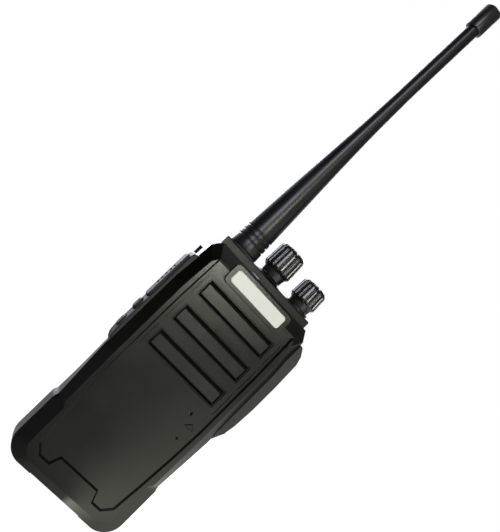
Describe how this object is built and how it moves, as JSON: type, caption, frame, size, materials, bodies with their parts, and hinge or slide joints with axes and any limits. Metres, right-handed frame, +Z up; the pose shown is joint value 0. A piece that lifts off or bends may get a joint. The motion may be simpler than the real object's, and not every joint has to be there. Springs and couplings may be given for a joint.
{
  "type": "handheld two-way radio",
  "caption": "Handheld two-way radio with a long whip antenna, top knobs, side talk key, jack cover, slide-on battery pack and belt clip.",
  "frame": {"origin": "on the flat underside of the front case, in the middle of the width, 17 mm behind the raised border of the front", "axes": "+X to the right seen from the front, +Y to the back, +Z up along the antenna"},
  "size_m": [0.0687, 0.0439, 0.2876],
  "materials": {
    "housing": "fine textured moulding, satin",
    "badge": "bright satin",
    "lens": "clear moulding",
    "grille": "fine textured moulding",
    "cloth": "woven mesh",
    "steel": "plain",
    "cone": "paper",
    "magnet": "plated",
    "seal_rubber": "matt",
    "chassis": "black coated casting",
    "screw": "blackened",
    "board": "solder resist",
    "tin": "tinned",
    "chip": "moulded",
    "dark_plastic": "moulded",
    "gold": "gold plated",
    "knob": "semi gloss",
    "nickel": "nickel plated",
    "white_plastic": "plain",
    "spring_steel": "spring wire",
    "antenna": "satin",
    "antenna_cap": "satin",
    "key_rubber": "matt",
    "cover_rubber": "matt, grained",
    "pack": "fine textured moulding",
    "cell": "foil",
    "latch": "plain",
    "clip": "satin"
  },
  "bodies": {
    "housing": {"front_case": "housing", "badge_plate": "badge", "led_lens": "lens", "speaker_grille": "grille", "speaker_cloth": "cloth", "speaker_frame": "steel", "speaker_cone": "cone", "speaker_magnet": "magnet", "mic_boot": "seal_rubber", "mic_capsule": "steel", "rear_chassis": "chassis", "chassis_screws": "screw", "case_seal": "seal_rubber", "main_board": "board", "shield_cans": "tin", "board_chips": "chip", "contact_block": "dark_plastic", "contact_pins": "gold", "jack_block": "dark_plastic", "jack_sleeves": "tin", "side_key_board": "board", "key_switches": "chip", "channel_switch": "dark_plastic", "volume_control": "dark_plastic", "control_nuts": "nickel", "antenna_socket": "gold", "antenna_insulator": "white_plastic", "antenna_seal": "seal_rubber", "antenna_ferrule": "nickel", "antenna_core": "spring_steel", "antenna_sheath": "antenna", "antenna_cap": "antenna_cap", "side_key_bezel": "key_rubber", "cover_foot": "cover_rubber", "cover_screw": "screw", "clip_bracket": "clip", "clip_screws": "screw", "clip_pin": "steel", "clip_spring": "spring_steel"},
    "battery": {"battery_case": "pack", "battery_cover": "pack", "battery_cells": "cell", "battery_board": "board", "battery_pads": "gold", "latch_spring": "spring_steel"},
    "latch": {"battery_latch": "latch"},
    "channel_control": {"channel_knob": "knob", "channel_shaft": "steel"},
    "volume_control": {"volume_knob": "knob", "volume_shaft": "steel"},
    "ptt": {"ptt_button": "key_rubber"},
    "upper_key": {"side_key_upper": "key_rubber"},
    "lower_key": {"side_key_lower": "key_rubber"},
    "jack_cover": {"jack_cover": "cover_rubber"},
    "belt_clip": {"belt_clip": "clip"}
  },
  "joints": [
    {"name": "channel_turn", "type": "hinge", "parent": "housing", "child": "channel_control", "pos_m": [0.0015, 0, 0.13], "axis": [0, 0, 1], "range_deg": [-337.5, 0]},
    {"name": "volume_turn", "type": "hinge", "parent": "housing", "child": "volume_control", "pos_m": [0.0202, 0, 0.13], "axis": [0, 0, 1], "range_deg": [-280, 0]},
    {"name": "ptt_press", "type": "slide", "parent": "housing", "child": "ptt", "axis": [1, 0, 0], "range_m": [0, 0.0008], "stiffness_N_per_m": 3000},
    {"name": "upper_key_press", "type": "slide", "parent": "housing", "child": "upper_key", "axis": [1, 0, 0], "range_m": [0, 0.0006], "stiffness_N_per_m": 3000},
    {"name": "lower_key_press", "type": "slide", "parent": "housing", "child": "lower_key", "axis": [1, 0, 0], "range_m": [0, 0.0006], "stiffness_N_per_m": 3000},
    {"name": "jack_cover_open", "type": "hinge", "parent": "housing", "child": "jack_cover", "pos_m": [0.0339, -0.0069, 0.0668], "axis": [0, 1, 0], "range_deg": [0, 110]},
    {"name": "battery_slide", "type": "slide", "parent": "housing", "child": "battery", "axis": [0, 0, -1], "range_m": [0, 0.098]},
    {"name": "latch_press", "type": "slide", "parent": "battery", "child": "latch", "axis": [0, 1, 0], "range_m": [0, 0.002], "stiffness_N_per_m": 1200, "deforming": ["latch_spring"]},
    {"name": "belt_clip_open", "type": "hinge", "parent": "housing", "child": "belt_clip", "pos_m": [0, 0.0216, 0.113], "axis": [1, 0, 0], "range_deg": [0, 18], "stiffness_Nm_per_rad": 0.3, "springref_deg": -17.19}
  ]
}
